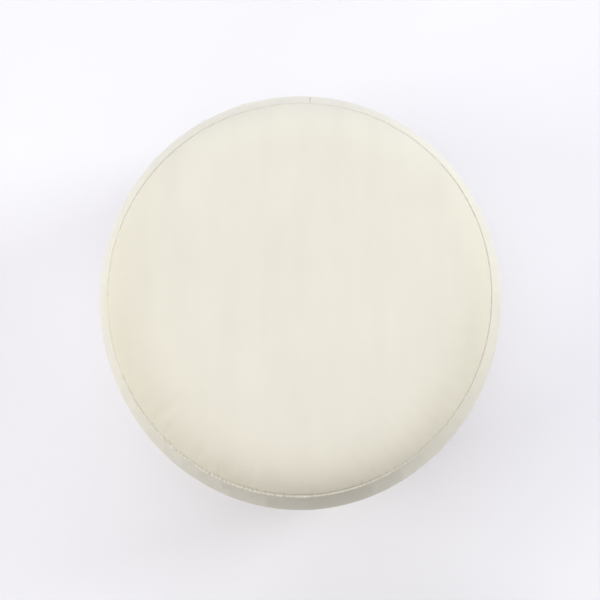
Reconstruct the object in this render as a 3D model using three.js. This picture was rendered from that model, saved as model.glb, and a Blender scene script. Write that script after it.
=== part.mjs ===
import * as THREE from "three";

// A round pouf ottoman in plain cream velvet, filled firm. A maker cuts three pieces for it: a round
// top panel, a side band and a round base panel the same size as the top. The band is sewn to each
// round with a plain seam, which the thread draws in. Each piece is modelled here with the filling
// behind it, so the three together are one firm body.
// Millimetres, +Z up, origin at the middle of the underside, front towards -Y.

// Driving dimensions
const TOP_SEAM_HEIGHT = 348; // seam of the top panel, above the surface the pouf stands on
const BASE_SEAM_HEIGHT = 14; // seam of the base panel
const PANEL_RADIUS = 195.3; // finished size of both rounds, at the seam
const DOME = 12; // slow rise of the top panel from its seam to its middle
const ROLL = 20; // quick rise of the top panel where it rolls over the rim
const ROLL_POWER = 9; // how close to the rim that roll stays
const FLAT_RADIUS = 172; // flat part of the underside, which takes the weight
const SWELL = 17.8; // how far the filling pushes the side band out past its seams
const TOP_SHOULDER = 26; // depth over which the band turns from the top seam into the side
const BASE_SHOULDER = 20; // the same above the base seam, shorter under the weight
const BELLY = 6; // further swell at half height
const SEAM_DRAW = 3.5; // how far the thread draws a seam in
const LIP = 3; // width of the rolled edge on each side of a seam
const GAP = 0.3; // between two pieces that are sewn together

// The round isn't quite true. Each row is one set of lobes round the outline: how far they stand out
// at the seams and in the band's swell, in mm, and the direction of a peak, in degrees from +X.
const UNEVENNESS = [
  { lobes: 2, atSeam: 2.33, seamPeak: 83, inSwell: 1.1, swellPeak: 109 },
  { lobes: 3, atSeam: 0.64, seamPeak: 33, inSwell: 0.43, swellPeak: 113 },
];

// Fineness of the surfaces
const SIDES = 64; // round the outline
const CROWN_STEPS = 13; // from the middle of the top panel to its rim
const BAND_STEPS = 22; // down the side band
const BASE_STEPS = 5; // from the flat of the underside up to its seam
const LIP_STEPS = 4; // round a rolled edge

const cream = { color: 0xece8dc, roughness: 0.92, metalness: 0 };

// How far the outline strays from a true round in one direction, in mm
function stray(angle, size, peak) {
  return UNEVENNESS.reduce(
    (sum, row) =>
      sum + row[size] * Math.cos(row.lobes * (angle - THREE.MathUtils.degToRad(row[peak]))),
    0,
  );
}

// Height of the top panel above its seam
function crownAt(radius) {
  const share = radius / PANEL_RADIUS;
  return DOME * (1 - share ** 2) + ROLL * (1 - share ** ROLL_POWER);
}

// Share of the full swell that the side band has reached at a height: none at either seam
function swellShare(height) {
  const below = Math.max(0, TOP_SEAM_HEIGHT - height);
  const above = Math.max(0, height - BASE_SEAM_HEIGHT);
  return (1 - Math.exp(-below / TOP_SHOULDER)) * (1 - Math.exp(-above / BASE_SHOULDER));
}

function bandRadius(height) {
  const up = (height - BASE_SEAM_HEIGHT) / (TOP_SEAM_HEIGHT - BASE_SEAM_HEIGHT);
  return PANEL_RADIUS + SWELL * swellShare(height) + BELLY * Math.sin(Math.PI * up) ** 2;
}

// The rolled edge of a piece at a seam: from its outer surface, round, and in to the drawn thread
function rolledEdge(surface, seamHeight, side) {
  const corner = new THREE.Vector2(PANEL_RADIUS, seamHeight);
  const thread = new THREE.Vector2(PANEL_RADIUS - SEAM_DRAW, seamHeight + (side * GAP) / 2);
  return new THREE.QuadraticBezierCurve(surface, corner, thread).getPoints(LIP_STEPS);
}

// Turns a half outline, which runs upwards on the outside from the axis and back to it, into a closed
// solid about +Z, and gives its round the unevenness
function turned(outline) {
  const geometry = new THREE.LatheGeometry(outline, SIDES);
  const place = geometry.getAttribute("position");
  for (let i = 0; i < place.count; i++) {
    const [x, height, z] = [place.getX(i), place.getY(i), place.getZ(i)];
    const radius = Math.hypot(x, z);
    if (radius === 0) continue;
    const angle = Math.atan2(-z, x); // the lathe's axis is Y until the solid is stood up
    const atSeam = (stray(angle, "atSeam", "seamPeak") * radius) / PANEL_RADIUS;
    const inSwell = stray(angle, "inSwell", "swellPeak") * swellShare(height);
    const scale = (radius + atSeam + inSwell) / radius;
    place.setX(i, x * scale);
    place.setZ(i, z * scale);
  }
  return geometry.rotateX(Math.PI / 2);
}

// Top panel: flat underneath at the seam, domed over the filling, and rolled over its rim. The
// steps crowd towards the rim, where the roll is.
function topPanel() {
  const rim = PANEL_RADIUS - LIP;
  const crown = [];
  for (let i = 0; i <= CROWN_STEPS; i++) {
    const radius = rim * Math.sin((i / CROWN_STEPS) * (Math.PI / 2));
    crown.push(new THREE.Vector2(radius, TOP_SEAM_HEIGHT + crownAt(radius)));
  }
  const edge = rolledEdge(crown.pop(), TOP_SEAM_HEIGHT, 1);
  const middle = new THREE.Vector2(0, TOP_SEAM_HEIGHT + GAP / 2);
  return turned([middle, ...edge.reverse(), ...crown.reverse()]);
}

// Side band: the filled drum between the two rounds, drawn in at both seams and swelling between.
// The steps crowd towards the seams, where the shoulders turn.
function sideBand() {
  const low = BASE_SEAM_HEIGHT + LIP;
  const high = TOP_SEAM_HEIGHT - LIP;
  const side = [];
  for (let i = 0; i <= BAND_STEPS; i++) {
    const height = THREE.MathUtils.lerp(low, high, (1 - Math.cos((i / BAND_STEPS) * Math.PI)) / 2);
    side.push(new THREE.Vector2(bandRadius(height), height));
  }
  const topEdge = rolledEdge(side.pop(), TOP_SEAM_HEIGHT, -1);
  const baseEdge = rolledEdge(side.shift(), BASE_SEAM_HEIGHT, 1);
  return turned([
    new THREE.Vector2(0, BASE_SEAM_HEIGHT + GAP / 2),
    ...baseEdge.reverse(),
    ...side,
    ...topEdge,
    new THREE.Vector2(0, TOP_SEAM_HEIGHT - GAP / 2),
  ]);
}

// Base panel: flat where the pouf stands, curving up to its seam all round
function basePanel() {
  const rim = PANEL_RADIUS - LIP;
  const rise = [];
  for (let i = 0; i <= BASE_STEPS; i++) {
    const radius = THREE.MathUtils.lerp(FLAT_RADIUS, rim, i / BASE_STEPS);
    const share = (radius - FLAT_RADIUS) / (PANEL_RADIUS - FLAT_RADIUS);
    rise.push(new THREE.Vector2(radius, BASE_SEAM_HEIGHT * share ** 2));
  }
  const edge = rolledEdge(rise.pop(), BASE_SEAM_HEIGHT, -1);
  const middle = new THREE.Vector2(0, BASE_SEAM_HEIGHT - GAP / 2);
  return turned([new THREE.Vector2(0, 0), ...rise, ...edge, middle]);
}

function piece(name, geometry) {
  const mesh = new THREE.Mesh(geometry, new THREE.MeshStandardMaterial(cream));
  mesh.name = name;
  return mesh;
}

const group = new THREE.Group();
group.add(piece("top_panel", topPanel()));
group.add(piece("side_band", sideBand()));
group.add(piece("base_panel", basePanel()));

export default group;
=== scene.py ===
import math

import bmesh
import bpy
import numpy as np
from mathutils import Matrix, Vector


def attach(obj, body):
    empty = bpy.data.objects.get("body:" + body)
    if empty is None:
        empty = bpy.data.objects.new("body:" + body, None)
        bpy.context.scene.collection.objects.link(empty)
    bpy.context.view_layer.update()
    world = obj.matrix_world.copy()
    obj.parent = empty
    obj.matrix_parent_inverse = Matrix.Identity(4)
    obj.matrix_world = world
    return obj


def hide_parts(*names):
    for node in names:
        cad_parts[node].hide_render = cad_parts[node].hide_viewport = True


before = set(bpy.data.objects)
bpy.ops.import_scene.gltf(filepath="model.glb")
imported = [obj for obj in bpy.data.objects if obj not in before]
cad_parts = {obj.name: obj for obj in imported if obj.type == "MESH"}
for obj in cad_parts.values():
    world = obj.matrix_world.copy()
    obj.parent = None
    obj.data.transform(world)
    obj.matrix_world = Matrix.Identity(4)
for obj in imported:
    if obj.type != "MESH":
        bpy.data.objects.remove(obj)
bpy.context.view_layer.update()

# A round pouf ottoman in cream velvet, filled firm, stands in a studio and is seen from almost
# straight above. Metres, +Z up, front towards -Y.

# Camera
# It looks almost straight down, from a little in front of the pouf and to the right of its middle,
# with the back of the pouf at the top of the picture.
CAMERA_PLACE = Vector((0.0178, -0.0714, 1.848))
CAMERA_AIM = Vector((0.00065, -0.0022, 0.348))
LENS_MM = 90
SENSOR_MM = 36

bpy.ops.object.camera_add(location=CAMERA_PLACE)
camera = bpy.context.object
backwards = (CAMERA_PLACE - CAMERA_AIM).normalized()
sideways = Vector((0, 1, 0)).cross(backwards).normalized()
upwards = backwards.cross(sideways)
camera.rotation_euler = Matrix((sideways, upwards, backwards)).transposed().to_euler()
camera.data.lens = LENS_MM
camera.data.sensor_width = SENSOR_MM
camera.data.clip_end = 60
bpy.context.scene.camera = camera

# Studio
# A wide sheet of pale paper lies on the floor. Softboxes stand at the left, behind the right side,
# in front and above. The walls round it glow softly, warm at the sides and cool behind. A black card
# in front of the pouf swallows what the floor throws back, so the front of its side is darkest.
PAPER_HEX = "F4F3FB"
GLOWS = (
    # degrees round from the right, degrees up from the floor, strength, colour
    (130, 42, 1.04, "FAFAFF"),
    (90, 68, 0.34, "FFFFFF"),
    (90, 12, 1.40, "E9F1FF"),
    (0, 12, 1.70, "FFFEEC"),
    (180, 12, 0.62, "FFFFF8"),
)
GLOW_POWER = 6  # how quickly a glow fades away from its middle
SOFTBOXES = (
    # name, place, width, height, watts, colour
    ("left_softbox", (-2.45, -0.30, 1.51), 1.7, 1.4, 29.3, "FFFFF1"),
    ("right_softbox", (2.29, 0.93, 1.51), 0.9, 1.4, 26.5, "FBFFFF"),
    ("front_softbox", (0, -1.31, 2.67), 2.0, 2.0, 22.0, "FFFAFA"),
    ("hanging_softbox", (0, 0, 3.0), 1.0, 1.0, 5.2, "FFFCFF"),
)
SOFTBOX_AIM = Vector((0, 0, 0.2))
FLOOR_WIDTH = 30
CARD_HEX = "262626"
CARD_LEFT = -0.19
CARD_RIGHT = 0.25
CARD_LOW = 0.10
CARD_HIGH = 0.36
CARD_FRONT = -0.44  # where it stands, front to back


def linear(hex_colour):
    """An sRGB hex colour as the linear colour that a shader takes, opaque."""
    parts = [int(hex_colour[i : i + 2], 16) / 255 for i in (0, 2, 4)]
    return [p / 12.92 if p <= 0.04045 else ((p + 0.055) / 1.055) ** 2.4 for p in parts] + [1.0]


def add_node(tree, kind, settings=(), sockets=()):
    """Adds a shader node, with its settings and with a value or another node's output on each socket."""
    made = tree.nodes.new(kind)
    for name, value in dict(settings).items():
        setattr(made, name, value)
    for name, value in dict(sockets).items():
        if isinstance(value, bpy.types.NodeSocket):
            tree.links.new(value, made.inputs[name])
        else:
            made.inputs[name].default_value = value
    return made


bpy.context.scene.view_settings.view_transform = "Standard"

room = bpy.data.worlds.new("white_room")
room.use_nodes = True
room.node_tree.nodes.clear()
outwards = add_node(room.node_tree, "ShaderNodeTexCoord").outputs["Generated"]
glowing = (0, 0, 0)
for round_degrees, up_degrees, strength, hex_colour in GLOWS:
    turned, raised = math.radians(round_degrees), math.radians(up_degrees)
    level = math.cos(raised)
    middle = (math.cos(turned) * level, math.sin(turned) * level, math.sin(raised))
    facing = add_node(room.node_tree, "ShaderNodeVectorMath", {"operation": "DOT_PRODUCT"},
                      {0: outwards, 1: middle})
    kept = add_node(room.node_tree, "ShaderNodeMath", {"operation": "MAXIMUM"},
                    {0: facing.outputs["Value"], 1: 0})
    faded = add_node(room.node_tree, "ShaderNodeMath", {"operation": "POWER"},
                     {0: kept.outputs[0], 1: GLOW_POWER})
    colour = [strength * part for part in linear(hex_colour)[:3]]
    summed = add_node(room.node_tree, "ShaderNodeVectorMath", {"operation": "MULTIPLY_ADD"},
                      {0: faded.outputs[0], 1: colour, 2: glowing})
    glowing = summed.outputs[0]
glow = add_node(room.node_tree, "ShaderNodeBackground", sockets={"Color": glowing})
add_node(room.node_tree, "ShaderNodeOutputWorld", sockets={"Surface": glow.outputs[0]})
bpy.context.scene.world = room

for name, place, width, height, watts, hex_colour in SOFTBOXES:
    bpy.ops.object.light_add(type="AREA", location=place)
    light = bpy.context.object
    light.name = name
    light.rotation_euler = (SOFTBOX_AIM - Vector(place)).to_track_quat("-Z", "Y").to_euler()
    light.data.shape = "RECTANGLE"
    light.data.size = width
    light.data.size_y = height
    light.data.energy = watts
    light.data.color = linear(hex_colour)[:3]
    light.visible_camera = False

# uncoated background paper is even and pale, with no gloss
paper = bpy.data.materials.new("matt_background_paper")
paper.use_nodes = True
paper.node_tree.nodes.clear()
matt = add_node(paper.node_tree, "ShaderNodeBsdfPrincipled",
                sockets={"Base Color": linear(PAPER_HEX), "Roughness": 0.9, "Specular IOR Level": 0.2})
add_node(paper.node_tree, "ShaderNodeOutputMaterial", sockets={"Surface": matt.outputs[0]})

bpy.ops.mesh.primitive_plane_add(size=FLOOR_WIDTH)
floor = bpy.context.object
floor.name = "floor"
floor.data.materials.append(paper)

# card painted matt black throws next to nothing back
black = bpy.data.materials.new("matt_black_card")
black.use_nodes = True
black.node_tree.nodes.clear()
dull = add_node(black.node_tree, "ShaderNodeBsdfPrincipled",
                sockets={"Base Color": linear(CARD_HEX), "Roughness": 0.9, "Specular IOR Level": 0.1})
add_node(black.node_tree, "ShaderNodeOutputMaterial", sockets={"Surface": dull.outputs[0]})
card_middle = ((CARD_LEFT + CARD_RIGHT) / 2, CARD_FRONT, (CARD_LOW + CARD_HIGH) / 2)
bpy.ops.mesh.primitive_plane_add(size=1, location=card_middle, rotation=(math.pi / 2, 0, 0))
card = bpy.context.object
card.name = "black_card"
card.scale = (CARD_RIGHT - CARD_LEFT, CARD_HIGH - CARD_LOW, 1)
card.data.materials.append(black)
# it only takes light from the floor away, and neither shows nor casts a shadow
card.visible_camera = False
card.visible_shadow = False
card.visible_glossy = False

# Top panel
# A round of short-pile velvet, cut a little full, eased on to the band with a plain seam and blown
# up by the filling. The seam's stitches pull small puckers into it all round.
SEAM_RADIUS = 0.1951
TOP_SEAM = 0.348  # heights of the two seams
BASE_SEAM = 0.014
DOME = 0.0135  # slow rise of the panel from its seam to its middle
ROLL = 0.0175  # quick rise where it rolls over the edge
ROLL_POWER = 12  # how close to the edge that roll stays
SWELL = 0.0234  # how far the filling pushes the band out past its seams
TOP_SHOULDER = 0.045  # depth over which the band turns from the top seam into its side
BASE_SHOULDER = 0.020  # the same above the base seam
BELLY = 0.002  # further swell at half height
OUTLINE_POINTS = 800
UNEVENNESS = (
    # lobes, out at the seams, direction of that peak, out in the swell, direction of that peak
    (2, 0.0023, 82.5, 0.00138, 108.3),
    (3, 0.00065, 33.4, 0.00047, 112.9),
)
STITCHES = 272  # round a seam: about 4.5 mm each
STITCHED_EDGE = 0.0041  # cloth this near a seam is held flat by its stitches
LOOSE_REACH = 0.09  # and cloth further off than this is held flat by the filling
BUCKLES = range(40, 110)  # round the pouf, all of them mixed
FIRST_BUCKLE = 0.00012  # how uneven the cloth lies before it is blown up
FILLING_PRESSURE = 4
CLOTH_STEPS = 20
EASED_AT = math.radians(-108)  # most of the spare cloth was eased in here, at the front left
EASED_WIDTH = math.radians(48)
EASED_LEAST = 0.65  # how full the cloth lies everywhere
EASED_MORE = 0.95  # and how much fuller there
EDGE_ROLL = 0.0010  # radius of a velvet edge rolled in to its stitches
TUCK = 0.0024  # how much deeper the stitches hold the very edge
TUCK_REACH = 0.0006
SEWN_GAP = 0.0010  # between two sewn edges, where the seam lies open
SEWN_GAP_REACH = 0.003
DRAWN_TIGHT = (
    # stretches of the seam that were sewn tightest: middle in degrees, width in degrees, share closed
    (185, 30, 0.7),
    (82, 24, 0.6),
    (262, 38, 0.55),
)
EDGE_REACH = 0.005  # no sewn edge lies further above or below its seam
CROWDING = 0.004  # the rows of faces crowd together this near a seam
CROWDING_POWER = 1.9
LIP_AT = 0.0015  # the lip lies this far from the stitches
LIP_WIDTH = 0.0009
DENT_AT = 0.0012  # and a stitch's dent this far
DENT_WIDTH = 0.0008
DENT_POWER = 5  # how narrow a dent is along the seam
STITCH_DENT = 0.0014
PULLS = (0.35, 1.0)  # how strongly the stitches pull, from the least to the most
PUCKER_DENT = 0.0004
PUCKER_START = 0.0005
PUCKER_LENGTH = 0.012  # of the longest pucker
PUCKER_SHARES = (0.25, 1.0)  # root of how much of that length one pucker has
PUCKER_REACH = PUCKER_LENGTH * 5  # no pucker shows further from a seam
PUCKER_SLANT = 60  # stitches sideways in a metre of pucker
BACK_SHARE = 0.96  # radius of a flat back, as a share of its seam's
SHARP_TURN = math.radians(60)  # edges that turn less than this are shaded smooth
SHADED_PILE_HEX = "DCD8CD"
LIT_PILE_HEX = "EAE6DB"
SHEEN_HEX = "FFFDF6"
# painted shade: the cream is multiplied darker and warmer towards the rim, where the cloth rolls over
# and turns away from the light
RIM_SHADE_TINT = (0.965, 0.955, 0.915, 1)
FLATTEST_SPOT = (0.010, 0.022, 0)  # of the top panel: the painted rim shade grows with distance from it
RIM_SHADE_SHARES = (1, 0.8, 0)  # how much each way counts towards the painted rim shade: sideways, front to back, and up
PATCH = 0.07  # the pile leans alike over about this much cloth
TUFT = 0.0018
PANEL_RINGS = (0, 0.002, 0.004, 0.0072, 0.011, 0.0155, 0.021, 0.0275, 0.035, 0.044, 0.055, 0.068,
               0.083, 0.100, 0.120, 0.142, 0.166, 0.188, 0.2005)


def crown(radius):
    """Height of the top panel above its seam."""
    share = radius / SEAM_RADIUS
    return DOME * (1 - share ** 2) + ROLL * (1 - share ** ROLL_POWER)


def swell_share(height):
    """Share of its full swell that the side band has reached at a height: none at either seam."""
    below = np.maximum(0, TOP_SEAM - height)
    above = np.maximum(0, height - BASE_SEAM)
    return (1 - np.exp(-below / TOP_SHOULDER)) * (1 - np.exp(-above / BASE_SHOULDER))


def band_radius(height):
    """Radius of the side band at a height."""
    up = (height - BASE_SEAM) / (TOP_SEAM - BASE_SEAM)
    return SEAM_RADIUS + SWELL * swell_share(height) + BELLY * np.sin(math.pi * up) ** 2


def rings_along(outline, distances):
    """Radius and height of the points that lie these distances along an outline."""
    steps = np.linalg.norm(np.diff(outline, axis=0), axis=1)
    length = np.concatenate([[0], np.cumsum(steps)])
    distances = np.minimum(distances, length[-1])
    radii = np.interp(distances, length, outline[:, 0])
    heights = np.interp(distances, length, outline[:, 1])
    return list(zip(radii, heights))


def drawn_sheet(name, rings):
    """A round sheet, each ring pulled out of the one before it, with one column of faces a stitch."""
    bpy.ops.object.select_all(action="DESELECT")
    radius, height = rings[0]
    bpy.ops.mesh.primitive_circle_add(vertices=STITCHES, radius=radius)
    sheet = bpy.context.object
    sheet.name = name
    bpy.ops.object.mode_set(mode="EDIT")
    bpy.ops.transform.translate(value=(0, 0, height))
    for next_radius, next_height in rings[1:]:
        share = next_radius / radius
        bpy.ops.mesh.extrude_edges_indiv()
        bpy.ops.transform.resize(value=(share, share, 1), center_override=(0, 0, 0))
        bpy.ops.transform.translate(value=(0, 0, next_height - height))
        radius, height = next_radius, next_height
    bpy.ops.object.mode_set(mode="OBJECT")
    # extruding leaves the faces in a chance order, in which the cloth would buckle differently each
    # time, so each face starts at its earliest point and the faces are sorted
    points = [tuple(vertex.co) for vertex in sheet.data.vertices]
    faces = [tuple(face.vertices) for face in sheet.data.polygons]
    starts = [face.index(min(face)) for face in faces]
    faces = sorted(face[start:] + face[:start] for face, start in zip(faces, starts))
    sheet.data.clear_geometry()
    sheet.data.from_pydata(points, [], faces)
    return sheet


def points_of(piece):
    points = np.empty(len(piece.data.vertices) * 3)
    piece.data.vertices.foreach_get("co", points)
    return points.reshape(-1, 3)


def move_points(piece, points):
    piece.data.vertices.foreach_set("co", points.ravel())
    piece.data.update()


def upright(points):
    """The points' angles, radii and heights."""
    across, along, height = points.T
    return np.arctan2(along, across), np.hypot(across, along), height.copy()


def waves(angle, lobes, seed):
    """Smooth unevenness round the pouf, about 1 in size: many lobes, each turned its own way."""
    turns = np.random.default_rng(seed).uniform(0, 2 * math.pi, len(lobes))
    return sum(np.cos(n * angle + turn) for n, turn in zip(lobes, turns)) * math.sqrt(2 / len(lobes))


def eased(angle):
    """How full the cloth lies at this angle: more where the spare cloth was eased in."""
    off = (angle - EASED_AT + math.pi) % (2 * math.pi) - math.pi
    return EASED_LEAST + EASED_MORE * np.exp(-((off / EASED_WIDTH) ** 2))


def opening(angle):
    """How open the seam lies at this angle: 1, less where it was sewn tightest."""
    open_share = np.ones(len(angle))
    for middle, width, share in DRAWN_TIGHT:
        off = (angle - math.radians(middle) + math.pi) % (2 * math.pi) - math.pi
        open_share -= share * np.exp(-((off / math.radians(width)) ** 2))
    return open_share


def filled_out(sheet, seams, pucker_share, seed):
    """Blows the sheet up from inside, as the filling does, while the stitches hold its edges.
    A flat cut has too much cloth for the round shoulder, so it buckles there into small puckers.
    Each ring keeps its drawn place on average, and the firm filling evens out most of a pucker."""
    start = points_of(sheet)
    angle, radius, height = upright(start)
    from_seam = np.min([np.hypot(radius - r, height - h) for r, h in seams], axis=0)
    loose = (from_seam > STITCHED_EDGE) & (from_seam < LOOSE_REACH)
    held = sheet.vertex_groups.new(name="held")
    held.add(np.flatnonzero(~loose).tolist(), 1, "REPLACE")
    uneven = start.copy()
    uneven[:, 2] += FIRST_BUCKLE * loose * waves(angle, BUCKLES, seed)
    move_points(sheet, uneven)
    cloth = sheet.modifiers.new("filling", "CLOTH")
    cloth.settings.quality = 6
    cloth.settings.vertex_group_mass = "held"
    cloth.settings.use_pressure = True
    cloth.settings.uniform_pressure_force = FILLING_PRESSURE
    cloth.settings.effector_weights.gravity = 0
    for step in range(1, CLOTH_STEPS + 1):
        bpy.context.scene.frame_set(step)
    bpy.ops.object.modifier_apply(modifier=cloth.name)
    bpy.context.scene.frame_set(1)
    sheet.vertex_groups.clear()
    moved = (points_of(sheet) - start).reshape(-1, STITCHES, 3)
    moved -= moved.mean(axis=1, keepdims=True)
    share = pucker_share * eased(angle)
    move_points(sheet, start + share[:, None] * moved.reshape(-1, 3))


def fine_cloth(sheet):
    """Divides the sheet twice over, to four faces a stitch."""
    finer = sheet.modifiers.new("fine_cloth", "SUBSURF")
    finer.levels = 2
    finer.render_levels = 2
    bpy.ops.object.modifier_apply(modifier=finer.name)


def leaving(outline):
    """Direction in which an outline leaves its first point."""
    step = np.array(outline[1]) - np.array(outline[0])
    return step / np.linalg.norm(step)


def sewn_in(sheet, seam, outline, neighbour, lip, fuller, seed):
    """Rolls the sheet's edge in to the stitches at a seam, and pulls the small dents of the stitches.
    The allowance folded behind it lifts a narrow lip beside the seam, more where it lies fuller."""
    points = points_of(sheet)
    angle, radius, height = upright(points)
    away = leaving(outline)
    inward = away + leaving(neighbour)
    inward /= np.linalg.norm(inward)
    offset = np.column_stack([radius - seam[0], height - seam[1]])
    distance = np.linalg.norm(offset, axis=1)
    near = distance < PUCKER_REACH
    distance = distance[near]
    turn = angle[near] / (2 * math.pi) * STITCHES + PUCKER_SLANT * distance
    stitch = np.floor(turn).astype(int)
    between = turn - stitch

    # the edge's rows crowd towards the seam, and the last of them turn down the roll
    crowded = CROWDING * (distance / CROWDING) ** CROWDING_POWER
    slide = np.where(distance < CROWDING, crowded - distance, 0)
    distance = distance + slide
    over = np.clip(EDGE_ROLL - distance, 0, EDGE_ROLL)
    depth = EDGE_ROLL - np.sqrt(EDGE_ROLL ** 2 - over ** 2)
    open_share = opening(angle[near])
    depth += TUCK * open_share * np.clip(1 - distance / TUCK_REACH, 0, 1)
    depth -= lip * fuller(angle[near]) * np.exp(-(((distance - LIP_AT) / LIP_WIDTH) ** 2))
    # each stitch pulls a dent just beside the seam
    pulls = np.random.default_rng(seed).uniform(*PULLS, STITCHES)
    lengths = np.random.default_rng(seed + 1).uniform(*PUCKER_SHARES, STITCHES) ** 2 * PUCKER_LENGTH
    strength = eased(angle[near])
    for side, weight in ((0, 1 - between), (1, between)):
        number = (stitch + side) % STITCHES
        hold = strength * pulls[number] * np.cos(0.5 * math.pi * (1 - weight)) ** DENT_POWER
        depth += STITCH_DENT * hold * np.exp(-(((distance - DENT_AT) / DENT_WIDTH) ** 2))
        depth += PUCKER_DENT * hold * np.exp(-distance / lengths[number]) * (distance > PUCKER_START)
    gap = SEWN_GAP / 2 * np.array([-inward[1], inward[0]])
    gap *= np.sign(gap @ away)
    move = slide[:, None] * away + depth[:, None] * inward
    move += gap * (open_share * np.exp(-(distance / SEWN_GAP_REACH) ** 2))[:, None]
    radius[near] += move[:, 0]
    height[near] += move[:, 1]
    move_points(sheet, np.column_stack([radius * np.cos(angle), radius * np.sin(angle), height]))


def out_of_true(sheet):
    """Gives the sheet the pouf's unevenness: it isn't quite round."""
    points = points_of(sheet)
    angle, radius, height = upright(points)
    stray = np.zeros(len(points))
    for lobes, at_seam, seam_peak, in_swell, swell_peak in UNEVENNESS:
        seam_wave = np.cos(lobes * (angle - math.radians(seam_peak)))
        swell_wave = np.cos(lobes * (angle - math.radians(swell_peak)))
        stray += at_seam * seam_wave * radius / SEAM_RADIUS
        stray += in_swell * swell_wave * swell_share(height)
    points[:, 0] += stray * np.cos(angle)
    points[:, 1] += stray * np.sin(angle)
    move_points(sheet, points)


def pick_open_edge(sheet, height):
    """Selects the open edge of the sheet that lies at about this height, and stays in edit mode."""
    bpy.ops.object.mode_set(mode="EDIT")
    bpy.ops.mesh.select_mode(type="EDGE")
    bpy.ops.mesh.select_all(action="DESELECT")
    bpy.ops.mesh.select_non_manifold(use_wire=False, use_multi_face=False, use_non_contiguous=False)
    bpy.ops.object.mode_set(mode="OBJECT")
    for edge in sheet.data.edges:
        if edge.select:
            end = sheet.data.vertices[edge.vertices[0]].co
            edge.select = abs(end.z - height) < EDGE_REACH
    bpy.ops.object.mode_set(mode="EDIT")


def enclosed(sheet):
    """Volume inside a closed sheet, below nought where its faces point inwards."""
    body = bmesh.new()
    body.from_mesh(sheet.data)
    volume = body.calc_volume(signed=True)
    body.free()
    return volume


def closed(sheet, middle, back_heights):
    """Closes the sheet over its filling: the small hole in its middle, and a flat back at each seam."""
    if middle is not None:
        pick_open_edge(sheet, middle)
        bpy.ops.mesh.edge_face_add()
        bpy.ops.object.mode_set(mode="OBJECT")
    for back_height in back_heights:
        pick_open_edge(sheet, back_height)
        bpy.ops.mesh.extrude_edges_indiv()
        bpy.ops.transform.resize(value=(BACK_SHARE, BACK_SHARE, 0), center_override=(0, 0, back_height))
        bpy.ops.mesh.edge_face_add()
        bpy.ops.object.mode_set(mode="OBJECT")
    bpy.ops.object.mode_set(mode="EDIT")
    bpy.ops.mesh.select_all(action="SELECT")
    bpy.ops.mesh.normals_make_consistent(inside=False)
    bpy.ops.object.mode_set(mode="OBJECT")
    # a round as thin as the base panel can come out of that inside out
    if enclosed(sheet) < 0:
        bpy.ops.object.mode_set(mode="EDIT")
        bpy.ops.mesh.flip_normals()
        bpy.ops.object.mode_set(mode="OBJECT")
    bpy.ops.object.shade_smooth_by_angle(angle=SHARP_TURN)


def velvet(name, streak, rim_shade_span):
    """Short-pile cotton velvet: a matt cream ground, with a pale sheen off the sides of the pile.
    The pile was brushed one way, which leaves soft streaks that way: streak is their size in metres.
    Towards the rim the cream has painted shade, darker and warmer where the cloth rolls over the edge
    away from the light: rim_shade_span is how far from the flattest spot that starts and ends. It is
    less at the front and back."""
    cloth = bpy.data.materials.new(name)
    cloth.use_nodes = True
    tree = cloth.node_tree
    tree.nodes.clear()
    place = add_node(tree, "ShaderNodeTexCoord").outputs["Object"]
    # the pile leans a little differently from patch to patch, a hand's breadth across
    brushed = add_node(tree, "ShaderNodeVectorMath", {"operation": "DIVIDE"}, {0: place, 1: streak})
    streaks = add_node(tree, "ShaderNodeTexNoise",
                       sockets={"Vector": brushed.outputs[0], "Scale": 1, "Detail": 2, "Roughness": 0.5})
    patches = add_node(tree, "ShaderNodeTexNoise",
                       sockets={"Vector": place, "Scale": 1 / PATCH, "Detail": 2.5, "Roughness": 0.6})
    lean = add_node(tree, "ShaderNodeMix", {"data_type": "FLOAT"},
                    {"Factor": 0.5, 2: streaks.outputs["Fac"], 3: patches.outputs["Fac"]})
    ground = add_node(tree, "ShaderNodeMix", {"data_type": "RGBA"},
                      {"Factor": lean.outputs[0], 6: linear(SHADED_PILE_HEX), 7: linear(LIT_PILE_HEX)})
    # painted shade: darker, warmer cream towards the rim, where the cloth turns away from the light
    from_flattest = add_node(tree, "ShaderNodeVectorMath", {"operation": "SUBTRACT"},
                             {0: place, 1: FLATTEST_SPOT})
    level = add_node(tree, "ShaderNodeVectorMath", {"operation": "MULTIPLY"},
                     {0: from_flattest.outputs[0], 1: RIM_SHADE_SHARES})
    off_middle = add_node(tree, "ShaderNodeVectorMath", {"operation": "LENGTH"}, {0: level.outputs[0]})
    rim_shade_amount = add_node(tree, "ShaderNodeMapRange", {"interpolation_type": "SMOOTHSTEP"},
                    {"Value": off_middle.outputs["Value"], "From Min": rim_shade_span[0], "From Max": rim_shade_span[1]})
    cloth_colour = add_node(tree, "ShaderNodeMix", {"data_type": "RGBA", "blend_type": "MULTIPLY"},
                            {"Factor": rim_shade_amount.outputs["Result"], 6: ground.outputs[2], 7: RIM_SHADE_TINT})
    rough = add_node(tree, "ShaderNodeMapRange",
                     sockets={"Value": lean.outputs[0], "To Min": 0.82, "To Max": 0.94})
    # the tufts of the pile are about 0.3 mm apart, too fine to show, so they are drawn 1.8 mm apart
    pile = add_node(tree, "ShaderNodeTexNoise",
                    sockets={"Vector": place, "Scale": 1 / TUFT, "Detail": 2, "Roughness": 0.6})
    nap = add_node(tree, "ShaderNodeBump",
                   sockets={"Height": pile.outputs["Fac"], "Strength": 0.25, "Distance": 0.0003})
    body = add_node(tree, "ShaderNodeBsdfPrincipled", sockets={
        "Base Color": cloth_colour.outputs[2], "Roughness": rough.outputs["Result"],
        "Normal": nap.outputs["Normal"], "Specular IOR Level": 0.2, "Sheen Weight": 0.25,
        "Sheen Roughness": 0.35, "Sheen Tint": linear(SHEEN_HEX)})
    add_node(tree, "ShaderNodeOutputMaterial", sockets={"Surface": body.outputs[0]})
    return cloth


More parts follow.
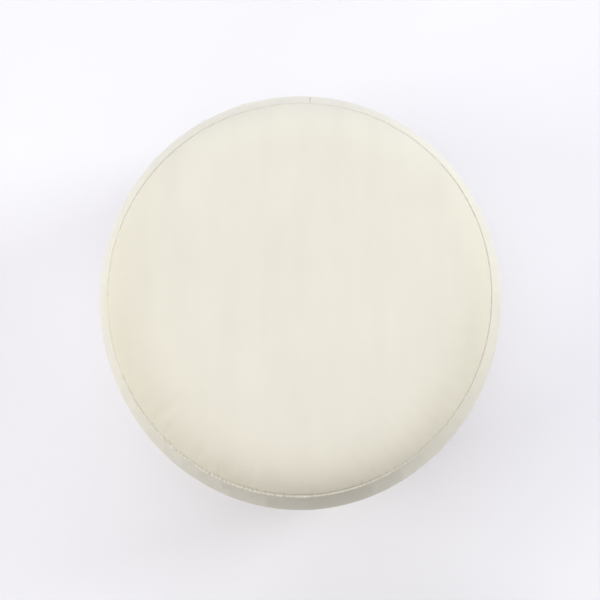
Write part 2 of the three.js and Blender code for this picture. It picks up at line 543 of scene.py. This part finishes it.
radii = np.linspace(SEAM_RADIUS, 0, OUTLINE_POINTS)
panel_outline = np.column_stack([radii, TOP_SEAM + crown(radii)])
heights = np.linspace(TOP_SEAM, BASE_SEAM, 2 * OUTLINE_POINTS)
band_outline = np.column_stack([band_radius(heights), heights])
top_seam = (SEAM_RADIUS, TOP_SEAM)

top_panel = drawn_sheet("top_panel_velvet", rings_along(panel_outline, PANEL_RINGS))
filled_out(top_panel, [top_seam], pucker_share=0.4, seed=11)
fine_cloth(top_panel)
sewn_in(top_panel, top_seam, panel_outline, band_outline, lip=0.0003, fuller=opening, seed=31)
closed(top_panel, TOP_SEAM + DOME + ROLL, [TOP_SEAM + SEWN_GAP / 2])
out_of_true(top_panel)
cream_velvet = velvet("cream_short_pile_velvet", streak=(0.026, 0.15, 0.15), rim_shade_span=(0.13, 0.21))
top_panel.data.materials.append(cream_velvet)
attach(top_panel, "root")
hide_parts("top_panel")

# Side band
# One long strip of the same velvet, joined end to end at the back and sewn to both rounds. The
# filling swells it out between its two seams.
BAND_RINGS = (0, 0.002, 0.004, 0.0072, 0.012, 0.019, 0.029, 0.043, 0.063, 0.093, 0.138)
LINES_ROUND = 4 * STITCHES  # of points, in the fine cloth
JOIN_LINE = 9  # counted from the very back to the right
JOIN_ANGLE = math.radians(90) - JOIN_LINE * 2 * math.pi / LINES_ROUND
JOIN_REACH = 0.0046
JOIN_CROWDING_POWER = 1.8
FLAT_RADIUS = 0.172  # the base panel is flat within it, and curves up from it to its seam


def joined_end_to_end(sheet):
    """Sews the strip's two ends together: a plain seam up the back, its rolled edges turned in."""
    points = points_of(sheet)
    angle, radius, height = upright(points)
    across = ((angle - JOIN_ANGLE + math.pi) % (2 * math.pi) - math.pi) * radius
    near = np.abs(across) < JOIN_REACH
    crowded = np.sign(across) * JOIN_REACH * (np.abs(across) / JOIN_REACH) ** JOIN_CROWDING_POWER
    angle = np.where(near, angle + (crowded - across) / radius, angle)
    over = np.clip(EDGE_ROLL - np.abs(crowded), 0, EDGE_ROLL)
    radius -= near * (EDGE_ROLL - np.sqrt(EDGE_ROLL ** 2 - over ** 2))
    move_points(sheet, np.column_stack([radius * np.cos(angle), radius * np.sin(angle), height]))


base_seam = (SEAM_RADIUS, BASE_SEAM)
band_length = np.linalg.norm(np.diff(band_outline, axis=0), axis=1).sum()
down = np.array(BAND_RINGS)
side_band = drawn_sheet("side_band_velvet", rings_along(
    band_outline, np.concatenate([down, band_length - down[::-1]])))
filled_out(side_band, [top_seam, base_seam], pucker_share=0.25, seed=13)
fine_cloth(side_band)
joined_end_to_end(side_band)

base_rise = np.maximum(0, (radii - FLAT_RADIUS) / (SEAM_RADIUS - FLAT_RADIUS))
base_outline = np.column_stack([radii, BASE_SEAM * base_rise ** 2])
sewn_in(side_band, top_seam, band_outline, panel_outline, lip=0.0008, fuller=eased, seed=41)
sewn_in(side_band, base_seam, band_outline[::-1], base_outline, lip=0.0002, fuller=eased, seed=51)
closed(side_band, None, [TOP_SEAM - SEWN_GAP / 2, BASE_SEAM + SEWN_GAP / 2])
out_of_true(side_band)
# the strip is cut from the same cloth with its pile running down
strip_velvet = velvet("cream_short_pile_velvet_pile_down", streak=(0.04, 0.04, 0.2),
                      rim_shade_span=(0.20, 0.26))
side_band.data.materials.append(strip_velvet)
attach(side_band, "root")
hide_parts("side_band")

# Base panel
# A second round of the same velvet, as big as the top panel and sewn on with the same plain seam.
# It lies hidden under the pouf, flat where it carries the weight.
BASE_RINGS = (0, 0.002, 0.004, 0.0072, 0.011, 0.0155, 0.021, 0.027, 0.035, 0.060, 0.120, 0.180, 0.199)

base_panel = drawn_sheet("base_panel_velvet", rings_along(base_outline, BASE_RINGS))
fine_cloth(base_panel)
sewn_in(base_panel, base_seam, base_outline, band_outline[::-1], lip=0.0001, fuller=opening, seed=61)
closed(base_panel, 0, [BASE_SEAM - SEWN_GAP / 2])
out_of_true(base_panel)
base_panel.data.materials.append(cream_velvet)
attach(base_panel, "root")
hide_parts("base_panel")
